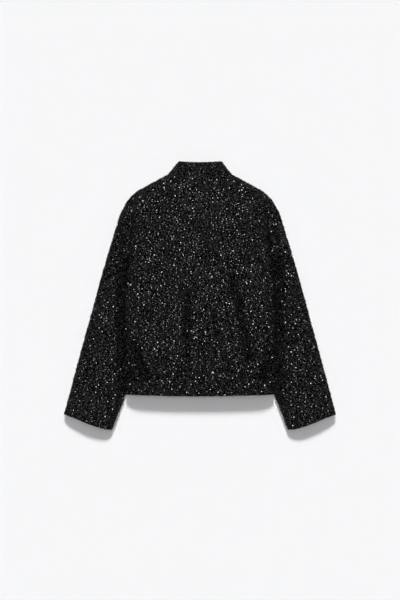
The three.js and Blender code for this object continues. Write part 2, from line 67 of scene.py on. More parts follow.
# The body's half width beside the sleeve, how far past the armhole the back would run, the height of its
# middle and of its side seam.
bodyStations = {
    "y": [-272, -245, -220, -196, -147, -66, 15, 45, 72, 90, 136, 217, 258, 284, 315, 330],
    "half": [199.5, 200.5, 202, 203.5, 205.5, 206.5, 204, 202, 200, 197, 190, 181, 175, 165, 120, 86],
    "reach": [0, 0, 0, 0, 0, 0, 0, 0, 0, 0.8, 2.5, 5, 6.5, 8, 12, 14],
    "level": [36.5, 40, 41.5, 44, 46, 46, 46, 46, 46, 46, 46, 45, 43, 40, 33.5, 29],
    "side": [19, 19.5, 20, 20, 20, 20, 18.5, 15.5, 14, 13, 12, 12, 12, 12, 12, 12],
}
# The sleeve's two edges, then its rings: heights of the crest and of both edges.
sleeveOuter = {
    "x": [165, 178, 190, 203, 214, 224, 247.3, 305.3, 366.2],
    "y": [283.8, 273, 261, 241, 220, 188, 112, -95, -320],
}
sleeveInner = {
    "x": [200, 201.8, 199.5, 191, 172, 152, 147, 163, 200, 237.6],
    "y": [72, 58, 45, 12, -28, -80, -125, -176, -267, -361.1],
}
innerPace = 1.5  # the inner edge starts slowly, so the rings fan out round the underarm
sleeveRings = {
    "t": [0, 0.08, 0.15, 0.3, 0.6, 0.8, 1],
    "crest": [36, 37, 38, 37, 36, 34, 29],
    "outer": [12, 13, 14, 14, 14, 14, 13],
    "inner": [14, 9, 4.6, 4.4, 4.4, 5.5, 12],
}
capBlend = 0.22  # share of the sleeve over which the armhole's shape fades out
cuffTurn = {"from": 0.955, "run": 0.012, "extra": 1.5}
cuffBow = {"depth": 5.2, "x": 0.31, "y": -0.95, "from": 0.75, "middle": 0.55, "power": 2.2, "draw": 0.21,
           "lean": 1.8}
pressed = {"cap": 8, "sleeve": 6}  # solid width at the sleeve's inner edge
roundness = {"upper": 2.6, "under": 6}
# The height left for the tucked sleeve, by distance in from the body's edge.
tuck = {
    "into": [-52, -38, -25, -14, -6, 0, 8, 15, 40, 100],
    "height": [46, 37.5, 29.5, 20.5, 13.5, 10, 9, 8.6, 8.4, 8.2],
}
tuckClear, tuckRamp, tuckedPast = 0.8, 38.0, 3.0
tuckStart = {"below": 12, "run": 40}
tuckCorner = {"depth": 4, "reach": 5, "least": 0.4}
tuckEnd = {"y": hemY + 6, "run": 60, "rise": 60}

# Folds as rows of fromX, fromY, toX, toY, width and depth. A negative depth is a ridge.
foldColumns = ("fromX", "fromY", "toX", "toY", "width", "depth")
foldFade = {"first": 0.4, "last": 0.25, "past": 1.1}
shadedFoldShare = 0.35  # of the sequins kept deep in a fold or beside a sleeve: fewer glints, as painted shade
backFolds = [
    (-33, 60, -35, -227, 7.5, 10), (70, 125, 138, -206, 8, 11.5), (38, -35, 42, -125, 8, 7),
    (-190, -105, -146, -224, 10, 14), (-197, -165, -186, -238, 10, 8), (187, -125, 180, -234, 14, 13),
    (-112, -140, -86, -228, 8, 5), (-64, -172, -58, -228, 7, 4), (66, -150, 74, -228, 7.5, 6),
    (12, -160, 8, -228, 7, 4.5), (-122, -178, -118, -232, 7, 4), (108, -172, 112, -230, 7, 4),
    (-146, 130, -134, -80, 26, -3), (156, 90, 168, -110, 24, -3), (-52, -120, -52, -212, 12, -2.5),
    (-150, 215, -168, 110, 12, 3), (148, 205, 166, 100, 12, 3),
]
# Sharper creases within the folds at the lower corners and along the band's ends.
backCreases = [
    (-182, -130, -146, -216, 5, 4), (-207, -165, -188, -232, 5, 4), (200, -150, 176, -226, 5, 4),
    (-105, -216, -200, -224, 8, 4), (105, -216, 200, -224, 8, 4), (176, -186, 150, -224, 5, 3),
]
frontFolds = [
    (-150, -130, -138, -228, 13, 3.5), (-92, -160, -88, -228, 12, 3), (-46, -175, -48, -226, 10, 2),
    (58, -170, 54, -226, 11, 2.5), (100, -140, 96, -228, 12, 3), (146, -120, 140, -228, 13, 3.5),
]
sleeveFolds = [
    (-262, 62, -226, -5, 11, 4), (-306, -100, -238, -150, 12, 5), (-322, -215, -262, -240, 12, 3.5),
    (-226, 150, -214, 90, 10, 3), (262, 40, 228, -30, 12, 4), (306, -120, 242, -145, 12, 5),
    (332, -200, 268, -250, 12, 4), (222, 165, 212, 95, 10, 3),
]


def lerp(a, b, t):
    return a + (b - a) * t


def clamp01(t):
    return np.clip(t, 0.0, 1.0)


def smooth(t):
    t = clamp01(t)
    return t * t * (3 - 2 * t)


def quarter(distance, reach):
    return np.sqrt(1 - (1 - clamp01(distance / reach)) ** 2)


def along(table, by, key, at):  # a smooth curve through a table's rows
    xs, ys = np.asarray(table[by], float), np.asarray(table[key], float)
    step = np.diff(xs)
    slope = np.diff(ys) / step
    tangent = np.empty_like(ys)
    tangent[0], tangent[-1] = slope[0], slope[-1]
    tangent[1:-1] = (slope[:-1] * step[1:] + slope[1:] * step[:-1]) / (step[:-1] + step[1:])
    at = np.clip(at, xs[0], xs[-1])
    i = np.clip(np.searchsorted(xs, at, "right") - 1, 0, len(step) - 1)
    h = step[i]
    t = (at - xs[i]) / h
    rise = ys[i] * (1 + 2 * t) * (1 - t) ** 2 + ys[i + 1] * t * t * (3 - 2 * t)
    return rise + tangent[i] * h * t * (1 - t) ** 2 + tangent[i + 1] * h * t * t * (t - 1)


def withShare(edge):  # adds each point's share of the chord length
    runs = np.concatenate([[0], np.cumsum(np.hypot(np.diff(edge["x"]), np.diff(edge["y"])))])
    return {**edge, "t": runs / runs[-1]}


outerEdge, innerEdge = withShare(sleeveOuter), withShare(sleeveInner)
tuckedRun = {"x": sleeveInner["x"][:0:-1], "y": sleeveInner["y"][:0:-1]}


def station(key, y):
    return along(bodyStations, "y", key, y)


def foldDepth(folds, x, y):
    depth = np.zeros(np.broadcast(x, y).shape)
    for row in folds:
        f = dict(zip(foldColumns, row))
        dx, dy = f["toX"] - f["fromX"], f["toY"] - f["fromY"]
        length = math.hypot(dx, dy)
        k = ((x - f["fromX"]) * dx + (y - f["fromY"]) * dy) / length**2
        off = ((x - f["fromX"]) * dy - (y - f["fromY"]) * dx) / length
        ends = smooth(k / foldFade["first"]) * smooth((foldFade["past"] - k) / foldFade["last"])
        depth = depth + f["depth"] * np.exp(-((off / f["width"]) ** 2)) * ends
    return depth


def tuckedTo(y):  # half width at which the tucked sleeve's inner edge lies
    return np.minimum(along(tuckedRun, "y", "x", y), station("half", y) + tuckedPast)


def belowShoulder(x, y):
    run, fall = shoulderPoint[0] - neckPoint[0], neckPoint[1] - shoulderPoint[1]
    return ((neckPoint[0] - x) * fall + (neckPoint[1] - y) * run) / math.hypot(run, fall)


def backHeight(x, y):
    edge, wide = station("side", y), station("half", y) + station("reach", y)
    dome = 1 - rounding["crown"] * (np.abs(x) / wide) ** 2
    side = quarter(wide - np.abs(x), rounding["side"])
    shoulder = np.where(y > underarmY, quarter(belowShoulder(np.abs(x), y), rounding["shoulder"]), 1.0)
    return edge + ((station("level", y) - edge) * dome - foldDepth(backFolds, x, y)) * side * shoulder


def creasedBack(x, y):
    edgeFade = 12
    fade = quarter(station("half", y) - np.abs(x), edgeFade)
    return backHeight(x, y) - foldDepth(backCreases, x, y) * fade


def inFold(x, y):  # 0 on open cloth to 1 deep in a fold
    deepFold, deepCrease = 9, 4
    return clamp01(foldDepth(backFolds, x, y) / deepFold + foldDepth(backCreases, x, y) / deepCrease)


def besideSleeve(x, y, reach):  # the deep fold between body and sleeve, up to the underarm
    aboveUnderarm = 30
    return (np.abs(station("half", y) - np.abs(x)) < reach) & (y < underarmY + aboveUnderarm)


def frontHeight(x, y):
    edge, wide = station("side", y), station("half", y) + station("reach", y)
    into = wide - np.abs(x)
    overSleeve = 1 - smooth((tuckedTo(y) - tuckedPast - np.abs(x)) / tuckRamp)
    nearUnderarm = smooth((underarmY - tuckStart["below"] - y) / tuckStart["run"])
    lifted = (along(tuck, "into", "height", into) + tuckClear) * overSleeve * nearUnderarm
    rest = lifted + foldDepth(frontFolds, x, y) * quarter(into, rounding["side"])
    side = quarter(into, rounding["sideUnder"])
    shoulder = np.where(y > underarmY, quarter(belowShoulder(np.abs(x), y), rounding["shoulderUnder"]), 1.0)
    return edge + (rest - edge) * side * shoulder


def backTopY(x):
    across = np.abs(x) / neckPoint[0]
    neck = lerp(backNeckY, neckPoint[1], np.minimum(across, 1) ** neckCurve["back"])
    out = (np.abs(x) - neckPoint[0]) / (shoulderPoint[0] - neckPoint[0])
    slant = lerp(neckPoint[1], shoulderPoint[1], out)
    return np.where(across <= 1, neck, slant)


def neckline(part, angle):  # x, y and the direction across the seam
    def place(a):
        share = np.minimum(1, np.abs(np.sin(a)))
        rise = share ** neckCurve["back"] if part == "back" else 1 - (1 - share**2) ** neckCurve["front"]
        low = backNeckY if part == "back" else frontNeckY
        return neckPoint[0] * np.sin(a), lerp(low, neckPoint[1], rise)

    limit, step = math.pi / 2, 0.01
    x0, y0 = place(np.maximum(-limit, angle - step))
    x1, y1 = place(np.minimum(limit, angle + step))
    size = np.hypot(x1 - x0, y1 - y0)
    x, y = place(angle)
    return x, y, (y0 - y1) / size, (x1 - x0) / size


def hemLine(share):
    return hemY - hemBow * (1 - share**2)


def lapLift(x, thickness):
    return (thickness + layerGap) * smooth((x + lap + lapFlat + lapRamp) / lapRamp)


def drawnIn(n):  # steps from -1 to 1, closer together at the ends
    pull = 0.65
    even = np.linspace(-1, 1, n + 1)
    return lerp(even, 1.5 * even - 0.5 * even**3, pull)


def towardsEdge(n):  # steps from 0 to 1, somewhat closer together at 1
    return lerp(drawnIn(2 * n)[n:], np.linspace(0, 1, n + 1), 0.5)


def lumps(across, down, size):  # soft random lumps over two running lengths
    cells = 256
    lattice = rng.random((cells + 1, cells + 1))
    i, j = across / size, down / size
    i0, j0 = np.floor(i), np.floor(j)
    u, v = smooth(i - i0), smooth(j - j0)
    i0, j0 = i0.astype(int) % cells, j0.astype(int) % cells
    low = lerp(lattice[i0, j0], lattice[i0 + 1, j0], u)
    high = lerp(lattice[i0, j0 + 1], lattice[i0 + 1, j0 + 1], u)
    return lerp(low, high, v)


def linear(hexColour):
    parts = [int(hexColour[i:i + 2], 16) / 255 for i in (1, 3, 5)]
    return [p / 12.92 if p <= 0.04045 else ((p + 0.055) / 1.055) ** 2.4 for p in parts] + [1.0]


def addNode(tree, kind, settings=None, links=None):
    node = tree.nodes.new(kind)
    for key, value in (settings or {}).items():
        if isinstance(key, int) or key in node.inputs:
            node.inputs[key].default_value = value
        else:
            setattr(node, key, value)
    for key, source in (links or {}).items():
        tree.links.new(source, node.inputs[key])
    return node


def newMaterial(name):
    material = bpy.data.materials.new(name)
    material.use_nodes = True
    tree = material.node_tree
    tree.nodes.clear()
    return material, tree


def finishMaterial(tree, settings, links=None):
    shader = addNode(tree, "ShaderNodeBsdfPrincipled", settings, links)
    addNode(tree, "ShaderNodeOutputMaterial", links={"Surface": shader.outputs[0]})


# Boucle knit: matt black yarn knitted in curls about 2.5 mm apart. The colour holds painted light: a painted
# sheen, lighter than the yarn, on the crest of each curl, and painted shade, black, in the gaps between
# them. The painted sheen starts at this share of a curl's height.
boucleCurlsAndPaintedLight = {"curlSpacing": 2.5, "curlHeight": 1.2, "gap": "#000000", "crest": "#353536",
                 "sheenFrom": 0.59, "sheenTo": 0.64, "bump": 0.7}
boucle, tree = newMaterial("boucle knit")
place = addNode(tree, "ShaderNodeTexCoord")
curlScale = 1 / (boucleCurlsAndPaintedLight["curlSpacing"] * mm)
curls = addNode(tree, "ShaderNodeTexNoise", {"Scale": curlScale, "Detail": 0.0},
                {"Vector": place.outputs["Object"]})
# Mask of the painted sheen: 1 on the crest of each curl, 0 in the painted shade of the gaps.
sheenMask = addNode(tree, "ShaderNodeMapRange", {"From Min": boucleCurlsAndPaintedLight["sheenFrom"],
                                              "From Max": boucleCurlsAndPaintedLight["sheenTo"]},
                 {"Value": curls.outputs["Fac"]})
# Painted shade in the gaps and painted sheen on the crest of each curl, mixed into the base colour.
shade = addNode(tree, "ShaderNodeMix", {"data_type": "RGBA", 6: linear(boucleCurlsAndPaintedLight["gap"]),
                                        7: linear(boucleCurlsAndPaintedLight["crest"])}, {0: sheenMask.outputs[0]})
bump = addNode(tree, "ShaderNodeBump", {"Strength": boucleCurlsAndPaintedLight["bump"],
                                        "Distance": boucleCurlsAndPaintedLight["curlHeight"] * mm},
               {"Height": curls.outputs["Fac"]})
finishMaterial(tree, {"Roughness": 0.9, "Specular IOR Level": 0.0},
               {"Base Color": shade.outputs[2], "Normal": bump.outputs[0]})

# Plain knit: the cloth's inner face, flat and matt, which reads as a dark hollow at the hem and cuffs.
plainKnit, tree = newMaterial("plain knit backing")
finishMaterial(tree, {"Base Color": linear("#161617"), "Roughness": 0.9})

# PET sequin film, rolled glossy and punched into small discs, which catch the light one by one.
glossFilm, tree = newMaterial("gloss PET sequin film")
finishMaterial(tree, {"Base Color": linear("#060606"), "Roughness": 0.2, "IOR": 1.65})

# The same film with a satin face, about every third sequin, which glows softly instead.
satinFilm, tree = newMaterial("satin PET sequin film")
finishMaterial(tree, {"Base Color": linear("#0c0c0c"), "Roughness": 0.4, "IOR": 1.65})


def makeMesh(name, points, faces, sides, materials, slots=None, flatShaded=False):
    mesh = bpy.data.meshes.new(name)
    mesh.vertices.add(len(points))
    mesh.vertices.foreach_set("co", (np.asarray(points) * mm).astype(np.float32).ravel())
    mesh.loops.add(faces.size)
    mesh.loops.foreach_set("vertex_index", faces.astype(np.int32).ravel())
    mesh.polygons.add(len(faces))
    mesh.polygons.foreach_set("loop_start", np.arange(0, faces.size, sides, dtype=np.int32))
    if slots is not None:
        mesh.polygons.foreach_set("material_index", slots.astype(np.int32))
    mesh.polygons.foreach_set("use_smooth", np.full(len(faces), not flatShaded))
    for material in materials:
        mesh.materials.append(material)
    mesh.update(calc_edges=True)
    mesh.validate()
    thing = bpy.data.objects.new(name, mesh)
    bpy.context.scene.collection.objects.link(thing)
    return thing


def gridNormals(grid, ring, flip):
    if ring:
        du = np.roll(grid, -1, 1) - np.roll(grid, 1, 1)
    else:
        du = np.gradient(grid, axis=1)
    n = np.cross(du, np.gradient(grid, axis=0)) * (-1 if flip else 1)
    return n / np.maximum(np.linalg.norm(n, axis=2, keepdims=True), 1e-9)


def squareTo(normal, direction):  # takes out the part across a seam
    d = np.asarray(direction, float)
    d = np.broadcast_to(d, normal.shape)
    n = normal - d * (normal * d).sum(-1, keepdims=True)
    return n / np.maximum(np.linalg.norm(n, axis=-1, keepdims=True), 1e-9)


# The boucle's relief: its depth, the size of its lumps and curls, the share that stands proud of the cloth
# and how much more it stands up on rounded sides. Curls of 3.4 mm are coarser than the yarn's own 2.5 mm, as
# coarse as they have to be to show in the mesh. At a seam the relief gives way to a narrow dip.
relief = {"depth": 1.9, "lump": 7.0, "curl": 3.4, "lumpShare": 0.6, "proud": 0.4, "rough": 0.8,
          "seamReach": 2.2, "seamDip": 0.9}


def shell(name, grid, cloth, cuts=(), ring=False, flip=False, inner=None, quiet=0.0,
          seams=("foot", "head", "left", "right")):
    rows, cols = grid.shape[:2]
    normals = gridNormals(grid, ring, flip)
    inward = -normals
    edges = {"foot": np.s_[0, :], "head": np.s_[-1, :], "left": np.s_[:, 0], "right": np.s_[:, -1]}
    for edge, direction in cuts:
        inward[edges[edge]] = squareTo(inward[edges[edge]], direction)
    inside = grid + inward * cloth if inner is None else inner
    across = np.zeros((rows, cols))  # running lengths, for the lumps and the distance from each edge
    across[:, 1:] = np.cumsum(np.linalg.norm(np.diff(grid, axis=1), axis=2), axis=1)
    down = np.zeros((rows, cols))
    down[1:] = np.cumsum(np.linalg.norm(np.diff(grid, axis=0), axis=2), axis=0)
    bumps = relief["lumpShare"] * lumps(across, down, relief["lump"])
    bumps += (1 - relief["lumpShare"]) * lumps(across, down, relief["curl"])
    away = {"left": across, "right": across[:, -1:] - across, "foot": down, "head": down[-1:] - down}
    seam = np.zeros((rows, cols))
    for edge in seams:
        seam = np.maximum(seam, np.exp(-((away[edge] / relief["seamReach"]) ** 2)))
    rough = 1 + relief["rough"] * (1 - np.abs(normals[..., 2]))
    sink = relief["depth"] * rough * (bumps - relief["proud"]) * (1 - seam) + relief["seamDip"] * seam
    outside = grid + inward * (sink * (1 - quiet))[..., None]
    outside[..., 2] = np.maximum(outside[..., 2], 0)
    points = np.concatenate([outside.reshape(-1, 3), inside.reshape(-1, 3)])
    ids = np.arange(rows * cols).reshape(rows, cols)
    deep = ids + rows * cols
    here, following = (ids, np.roll(ids, -1, 1)) if ring else (ids[:, :-1], ids[:, 1:])
    hereDeep, followingDeep = here + rows * cols, following + rows * cols
    outer = [here[:-1], following[:-1], following[1:], here[1:]]
    lining = [hereDeep[:-1], hereDeep[1:], followingDeep[1:], followingDeep[:-1]]
    sheets = [outer, lining, [following[0], here[0], hereDeep[0], followingDeep[0]],
              [here[-1], following[-1], followingDeep[-1], hereDeep[-1]]]
    if not ring:
        sheets.append([ids[:-1, 0], ids[1:, 0], deep[1:, 0], deep[:-1, 0]])
        sheets.append([ids[1:, -1], ids[:-1, -1], deep[:-1, -1], deep[1:, -1]])
    faces = [np.stack(sheet, -1).reshape(-1, 4) for sheet in sheets]
    slots = np.concatenate([np.full(len(f), int(k == 1)) for k, f in enumerate(faces)])
    faces = np.concatenate(faces)
    if flip:
        faces = faces[:, ::-1]
    return makeMesh(name, points, faces, 4, [boucle, plainKnit], slots), outside, normals


# The sequins: one to each square of spacing, their radius, how far they lean in degrees, the share of that
# spread which is kept and its limit in radians, how far they stand off the cloth, how near they come to the
# floor and the share that is satin.
sequins = {"spacing": 3.1, "radius": (0.75, 1.35), "tilt": 21, "spread": 0.98, "mostLean": 1.2,
           "stand": (0.3, 1.6), "offFloor": 0.06, "satin": 0.35}
evenSteps = (0.754878, 0.56984)  # shares that fill a square evenly, so that no patch glints more


def scatterSequins(name, grid, normals, keep=None, ring=False, sizes=None):
    sizes = {**sequins, **(sizes or {})}
    if ring:
        grid = np.concatenate([grid, grid[:, :1]], 1)
        normals = np.concatenate([normals, normals[:, :1]], 1)
        keep = None if keep is None else np.concatenate([keep, keep[:, :1]], 1)
    a, b, c, d = grid[:-1, :-1], grid[:-1, 1:], grid[1:, 1:], grid[1:, :-1]
    area = np.linalg.norm(np.cross(c - a, d - b), axis=2) / 2
    if keep is not None:
        area = area * keep[:-1, :-1]
    area[1::2] = area[1::2, ::-1]  # every other row is read backwards
    run = np.cumsum(area.ravel())
    count = int(run[-1] / sizes["spacing"] ** 2)
    picked = np.searchsorted(run, (np.arange(count) + rng.random(count)) * run[-1] / count)
    picked = np.minimum(picked, area.size - 1)
    j, i = np.divmod(picked, area.shape[1])
    i = np.where(j % 2 == 1, area.shape[1] - 1 - i, i)
    u, v = rng.random((2, count, 1))
    centre = lerp(lerp(grid[j, i], grid[j, i + 1], u), lerp(grid[j + 1, i], grid[j + 1, i + 1], u), v)
    normal = normals[j, i]
    side = np.cross(normal, [0.0, 1.0, 0.02])
    side /= np.maximum(np.linalg.norm(side, axis=1, keepdims=True), 1e-9)
    other = np.cross(normal, side)
    order = np.arange(count)[:, None]
    rank = sizes["spread"] * (order * evenSteps[0] % 1)
    lean = np.minimum(np.radians(sizes["tilt"]) * np.sqrt(-2 * np.log(1 - rank)), sizes["mostLean"])
    turn = (order * evenSteps[1] % 1) * 2 * math.pi
    towards = side * np.cos(turn) + other * np.sin(turn)
    axis = normal * np.cos(lean) + towards * np.sin(lean)
    first = np.cross(axis, other) + 1e-6
    first /= np.linalg.norm(first, axis=1, keepdims=True)
    second = np.cross(axis, first)
    radius = rng.uniform(*sizes["radius"], count)[:, None]
    centre = centre + normal * rng.uniform(*sizes["stand"], count)[:, None]
    corners = [centre + radius * (first * math.cos(angle) + second * math.sin(angle))
               for angle in np.arange(6) * math.pi / 3]
    points = np.stack(corners, 1).reshape(-1, 3)
    points[:, 2] = np.maximum(points[:, 2], sizes["offFloor"])
    faces = np.arange(len(points)).reshape(-1, 6)
    satin = rng.random(count) < sizes["satin"]
    return makeMesh(name, points, faces, 6, [glossFilm, satinFilm], satin, flatShaded=True)


garment = []  # every piece of the jacket, for the lights that fall on it alone


def declare(cloth, trim, node):
    garment.extend([cloth, trim])
    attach(cloth, "root")
    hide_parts(node)
    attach(trim, "root")
    print("made", cloth.name, "with", len(trim.data.polygons), "sequins")


def lowerRows(n):
    return lerp(bandTopY + seamGap / 2, underarmY, (np.arange(n + 1) / n) ** rowPace["body"])


upVector, yVector, xVector = (0, 0, 1), (0, 1, 0), (1, 0, 0)


def sideName(side):  # the wearer's right is at +X
    return "Right" if side > 0 else "Left"


def lapped(x, side):  # 1 where the left piece lies over the right one's lap
    return (side < 0) * smooth((x + lap + lapQuiet["past"]) / lapQuiet["run"])


def acrossArmhole(y, side):
    slope = (station("half", y + 1) - station("half", y - 1)) / 2
    d = np.stack([np.full_like(slope, side), -slope, np.zeros_like(slope)], -1)
    return d / np.linalg.norm(d, axis=-1, keepdims=True)


backPiece = {"name": "backBody", "cellsAcross": 160, "rowsBelow": 112, "rowsAbove": 84, "cloth": 2.5,
             "flat": (0.458, 0.560), "area": 0.236, "foldReach": 9}


def buildBack():
    p = backPiece
    shares = drawnIn(p["cellsAcross"])[None, :]
    below = lowerRows(p["rowsBelow"])[:, None]
    f = np.sin(np.linspace(0, 1, p["rowsAbove"] + 1)[1:] * math.pi / 2)[:, None]
    aboveY = lerp(underarmY, shoulderPoint[1], f)
    x = np.concatenate([shares * station("half", below), shares * (station("half", aboveY) - seamGap / 2)])
    yAbove = lerp(underarmY, backTopY(shoulderPoint[0] * shares), f)
    y = np.concatenate([np.broadcast_to(below, (len(below), shares.shape[1])), yAbove])
    grid = np.stack([x, y, creasedBack(x, y)], -1)
    rowY = np.concatenate([below, aboveY])[:, 0]
    cuts = [("foot", yVector), ("head", upVector)]
    for edge, side in (("left", -1), ("right", 1)):
        d = np.where((rowY <= underarmY)[:, None], np.array(upVector, float), acrossArmhole(rowY, side))
        cuts.append((edge, d))
    cloth, outside, normals = shell(p["name"], grid, p["cloth"], cuts)
    # Painted shade: fewer sequins, so fewer glints, deep in the folds and in the groove beside the sleeves.
    keep = lerp(1, shadedFoldShare, np.maximum(besideSleeve(x, y, p["foldReach"]), inFold(x, y)))
    trim = scatterSequins("backSequins", outside, normals, keep=keep)
    declare(cloth, trim, "back")


frontPiece = {"name": "frontBody", "cellsAcross": 84, "rowsBelow": 100, "rowsAbove": 76, "cloth": 2.5,
              "armholeGap": 0.8,  # of the seam gap
              "flat": (0.236, 0.560), "area": 0.113, "overSleeve": 6, "quietFrom": 12, "quietRun": 8}


def buildFront(side):
    p = frontPiece
    key = sideName(side)
    below = lowerRows(p["rowsBelow"])
    k = np.linspace(0, 1, p["rowsAbove"] + 1)[1:]
    start = -math.asin(lap / neckPoint[0])
    nx, ny, dx, dy = neckline("front", lerp(start, math.pi / 2, k))
    cornerY = neckline("front", np.array([start]))[1][0] - seamGap / 2
    innerX = np.concatenate([np.full(len(below), -lap), nx - dx * seamGap / 2])
    lowY = lerp(bandTopY + seamGap / 2, cornerY, np.arange(len(below)) / (len(below) - 1))
    innerY = np.concatenate([lowY, ny - dy * seamGap / 2])
    outerY = np.concatenate([below, lerp(underarmY, shoulderPoint[1], np.sin(k * math.pi / 2))])
    outerX = station("half", outerY) - np.where(outerY > underarmY, p["armholeGap"] * seamGap, 0)
    u = towardsEdge(p["cellsAcross"])[None, :]
    x = lerp(innerX[:, None], outerX[:, None], u) * side
    y = lerp(innerY[:, None], outerY[:, None], u)
    z = frontHeight(x, y)
    if side < 0:
        z = z + lapLift(x, p["cloth"])
    grid = np.stack([x, y, z], -1)
    cuts = [("foot", yVector), ("head", upVector), ("left", xVector)]
    d = np.where((outerY <= underarmY)[:, None], np.array(upVector, float), acrossArmhole(outerY, side))
    cuts.append(("right", d))
    overSleeve = y < underarmY - tuckStart["below"]
    overSleeve &= station("half", y) - np.abs(x) > p["overSleeve"]
    hidden = smooth((np.abs(x) - tuckedTo(y) + p["quietFrom"]) / p["quietRun"]) * overSleeve
    quiet = np.maximum(hidden, lapped(x, side))  # no relief or sequins where cloth lies on cloth
    cloth, outside, normals = shell(p["name"] + key, grid, p["cloth"], cuts, flip=side > 0, quiet=quiet)
    trim = scatterSequins("front" + key + "Sequins", outside, normals, keep=quiet < 0.5)
    declare(cloth, trim, "front_" + key.lower())


sleevePiece = {"name": "sleeve", "cellsAcross": 52, "rows": 200, "cloth": 2.5, "flat": (0.400, 0.640),
               "area": 0.150, "foldReach": 15, "quietFrom": 2, "quietRun": 6, "sequins": {"spacing": 3.4}}


def sleeveTube(side, inset, rows, cells):
    t = (np.arange(rows + 1) / rows)[:, None] ** rowPace["sleeve"]
    thick = sleevePiece["cloth"] + cuffTurn["extra"] * smooth((t - cuffTurn["from"]) / cuffTurn["run"])
    deep = thick if inset else thick * 0
    s = np.concatenate([np.arange(cells) / cells, np.arange(cells, 0, -1) / cells])[None, :]
    upper = (np.arange(2 * cells) < cells)[None, :]
    ax, ay = along(outerEdge, "t", "x", t), along(outerEdge, "t", "y", t)
    bx, by = along(innerEdge, "t", "x", t**innerPace), along(innerEdge, "t", "y", t**innerPace)
    width = np.hypot(bx - ax, by - ay)
    first = deep / width
    atCuff = smooth((t - cuffBow["from"]) / (1 - cuffBow["from"]))
    solid = lerp(pressed["cap"], lerp(pressed["sleeve"], thick, atCuff), t) if inset else 0
    last = 1 - solid / width
    cap = smooth(t / capBlend)
    even = lerp(1 - np.sin(math.pi / 2 * (1 - s)), (1 - np.cos(math.pi * s)) / 2, cap)
    share = lerp(first, last, even)
    seamY = lerp(shoulderPoint[1], underarmY, share)
    x = lerp(ax, bx, share)
    y = lerp(ay, by, share)
    chordX = lerp(shoulderPoint[0], station("half", underarmY), share)
    x = x + (station("half", seamY) - chordX + seamGap / 2) * (1 - cap)
    late = share ** cuffBow["lean"]
    arc = np.maximum(0, 1 - np.abs(2 * (late - cuffBow["middle"])) ** cuffBow["power"])
    bow = cuffBow["depth"] * np.maximum(0, arc - cuffBow["draw"] * late) * atCuff
    x, y = x + cuffBow["x"] * bow, y + cuffBow["y"] * bow
    middle = (first + last) / 2
    rounded = np.minimum(1, np.abs((share - middle) / (middle - first)))
    edge = lerp(along(sleeveRings, "t", "outer", t), along(sleeveRings, "t", "inner", t), smooth(share))
    upperRound = np.sqrt(1 - rounded ** roundness["upper"])
    underRound = np.sqrt(1 - rounded ** roundness["under"])
    free = tuckEnd["rise"] * smooth((tuckEnd["y"] - y) / tuckEnd["run"])
    room = along(tuck, "into", "height", station("half", y) - x) + free
    crest = along(sleeveRings, "t", "crest", t) - foldDepth(sleeveFolds, x * side, y)
    softened = tuckCorner["depth"] * np.exp(-(((crest - room) / tuckCorner["reach"]) ** 2))
    top = np.maximum(np.minimum(crest, room) - softened - deep, edge + tuckCorner["least"])
    seamX = station("half", seamY)
    high = lerp(backHeight(seamX, seamY) - deep * upperRound, edge + (top - edge) * upperRound, cap)
    under = edge + (deep - edge) * underRound
    low = lerp(frontHeight(seamX, seamY) + deep * upperRound, under, cap)
    return np.stack([x * side, y, np.where(upper, high, low)], -1)


def buildSleeve(side):
    p = sleevePiece
    key = sideName(side)
    grid = sleeveTube(side, False, p["rows"], p["cellsAcross"])
    inner = sleeveTube(side, True, p["rows"], p["cellsAcross"])
    x, y = np.abs(grid[..., 0]), grid[..., 1]
    upper = np.arange(grid.shape[1])[None, :] < p["cellsAcross"]
    tuckedIn = (y > hemY - p["quietRun"]) * upper
    hidden = smooth((station("half", y) - x - p["quietFrom"]) / p["quietRun"]) * tuckedIn
    cloth, outside, normals = shell(p["name"] + key, grid, p["cloth"], ring=True, flip=side < 0, inner=inner,
                                    quiet=hidden, seams=("foot",))
    beside = besideSleeve(x, y, p["foldReach"]) & (y > hemY) & upper
    # Painted shade: fewer sequins, so fewer glints, in the groove beside the body; none where the sleeve is
    # tucked under.
    keep = lerp(1, shadedFoldShare, beside) * (hidden < 0.5)
    trim = scatterSequins("sleeve" + key + "Sequins", outside, normals, keep, True, p["sequins"])
    declare(cloth, trim, "sleeve_" + key.lower())


backBandPiece = {"name": "hemBandBack", "cellsAcross": 150, "rows": 16, "cloth": 3.0,
                 "flat": (0.440, 0.049), "area": None, "sequins": {"spacing": 3.6}}
frontBandPiece = {"name": "hemBandFront", "cellsAcross": 80, "rows": 16, "cloth": 3.0,
                  "flat": (0.228, 0.049), "area": None, "sequins": {"spacing": 3.6}}


